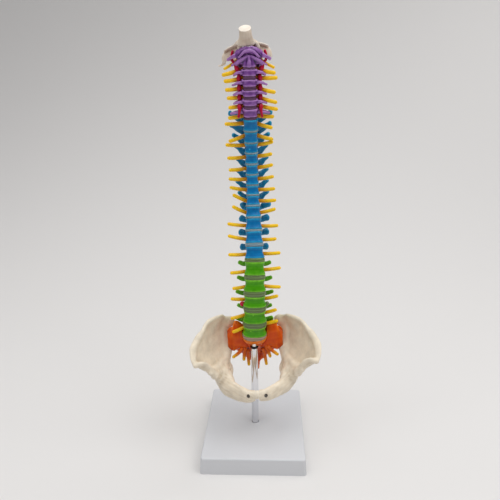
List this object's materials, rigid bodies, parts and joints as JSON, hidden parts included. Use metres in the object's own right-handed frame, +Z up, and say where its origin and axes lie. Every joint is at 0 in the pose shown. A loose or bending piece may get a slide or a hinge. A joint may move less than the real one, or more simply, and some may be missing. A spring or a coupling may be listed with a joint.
{
  "type": "spine anatomy model",
  "caption": "Free-standing spine and pelvis teaching model on a chrome rod and a flat base, with a coloured region for the neck, chest, loin and sacrum, soft discs and nerve stubs.",
  "frame": {"origin": "middle of the object's bounding box in X and Y, at the underside of the base, under the pelvis's middle plane; the rod's axis is 1 mm to the body's right of it", "axes": "+Z up, -Y the way the body faces, +X the body's own left side"},
  "size_m": [0.1423, 0.1403, 0.4528],
  "materials": {
    "white_abs": "satin, moulded",
    "chrome": "polished",
    "dark_steel": "satin",
    "black_rubber": "matt",
    "orange_pvc": "soft gloss",
    "bone_pvc": "satin",
    "green_pvc": "soft gloss",
    "blue_pvc": "soft gloss",
    "purple_pvc": "soft gloss",
    "grey_disc": "soft, translucent",
    "yellow_pvc": "soft gloss",
    "red_pvc": "soft gloss"
  },
  "bodies": {
    "root": {"base_plate": "white_abs", "base_screw": "dark_steel", "support_rod": "chrome", "rod_washer": "black_rubber", "rod_stud": "chrome", "sacrum": "orange_pvc", "hip_bone_left": "bone_pvc", "hip_bone_right": "bone_pvc", "pubic_disc": "bone_pvc", "pubic_screw_left": "dark_steel", "pubic_screw_right": "dark_steel", "vertebra_L5": "green_pvc", "vertebra_L4": "green_pvc", "vertebra_L3": "green_pvc", "vertebra_L2": "green_pvc", "vertebra_L1": "green_pvc", "vertebra_T12": "blue_pvc", "vertebra_T11": "blue_pvc", "vertebra_T10": "blue_pvc", "vertebra_T9": "blue_pvc", "vertebra_T8": "blue_pvc", "vertebra_T7": "blue_pvc", "vertebra_T6": "blue_pvc", "vertebra_T5": "blue_pvc", "vertebra_T4": "blue_pvc", "vertebra_T3": "blue_pvc", "vertebra_T2": "blue_pvc", "vertebra_T1": "blue_pvc", "vertebra_C7": "purple_pvc", "vertebra_C6": "purple_pvc", "vertebra_C5": "purple_pvc", "vertebra_C4": "purple_pvc", "vertebra_C3": "purple_pvc", "vertebra_C2": "purple_pvc", "vertebra_C1": "purple_pvc", "disc_S1_L5": "grey_disc", "disc_L5_L4": "grey_disc", "disc_L4_L3": "grey_disc", "disc_L3_L2": "grey_disc", "disc_L2_L1": "grey_disc", "disc_L1_T12": "grey_disc", "disc_T1_C7": "grey_disc", "disc_C7_C6": "grey_disc", "disc_C6_C5": "grey_disc", "disc_C5_C4": "grey_disc", "disc_C4_C3": "grey_disc", "disc_C3_C2": "grey_disc", "spinal_cord": "yellow_pvc", "vertebral_artery_left": "red_pvc", "vertebral_artery_right": "red_pvc", "occipital_bone": "bone_pvc"}
  },
  "joints": []
}
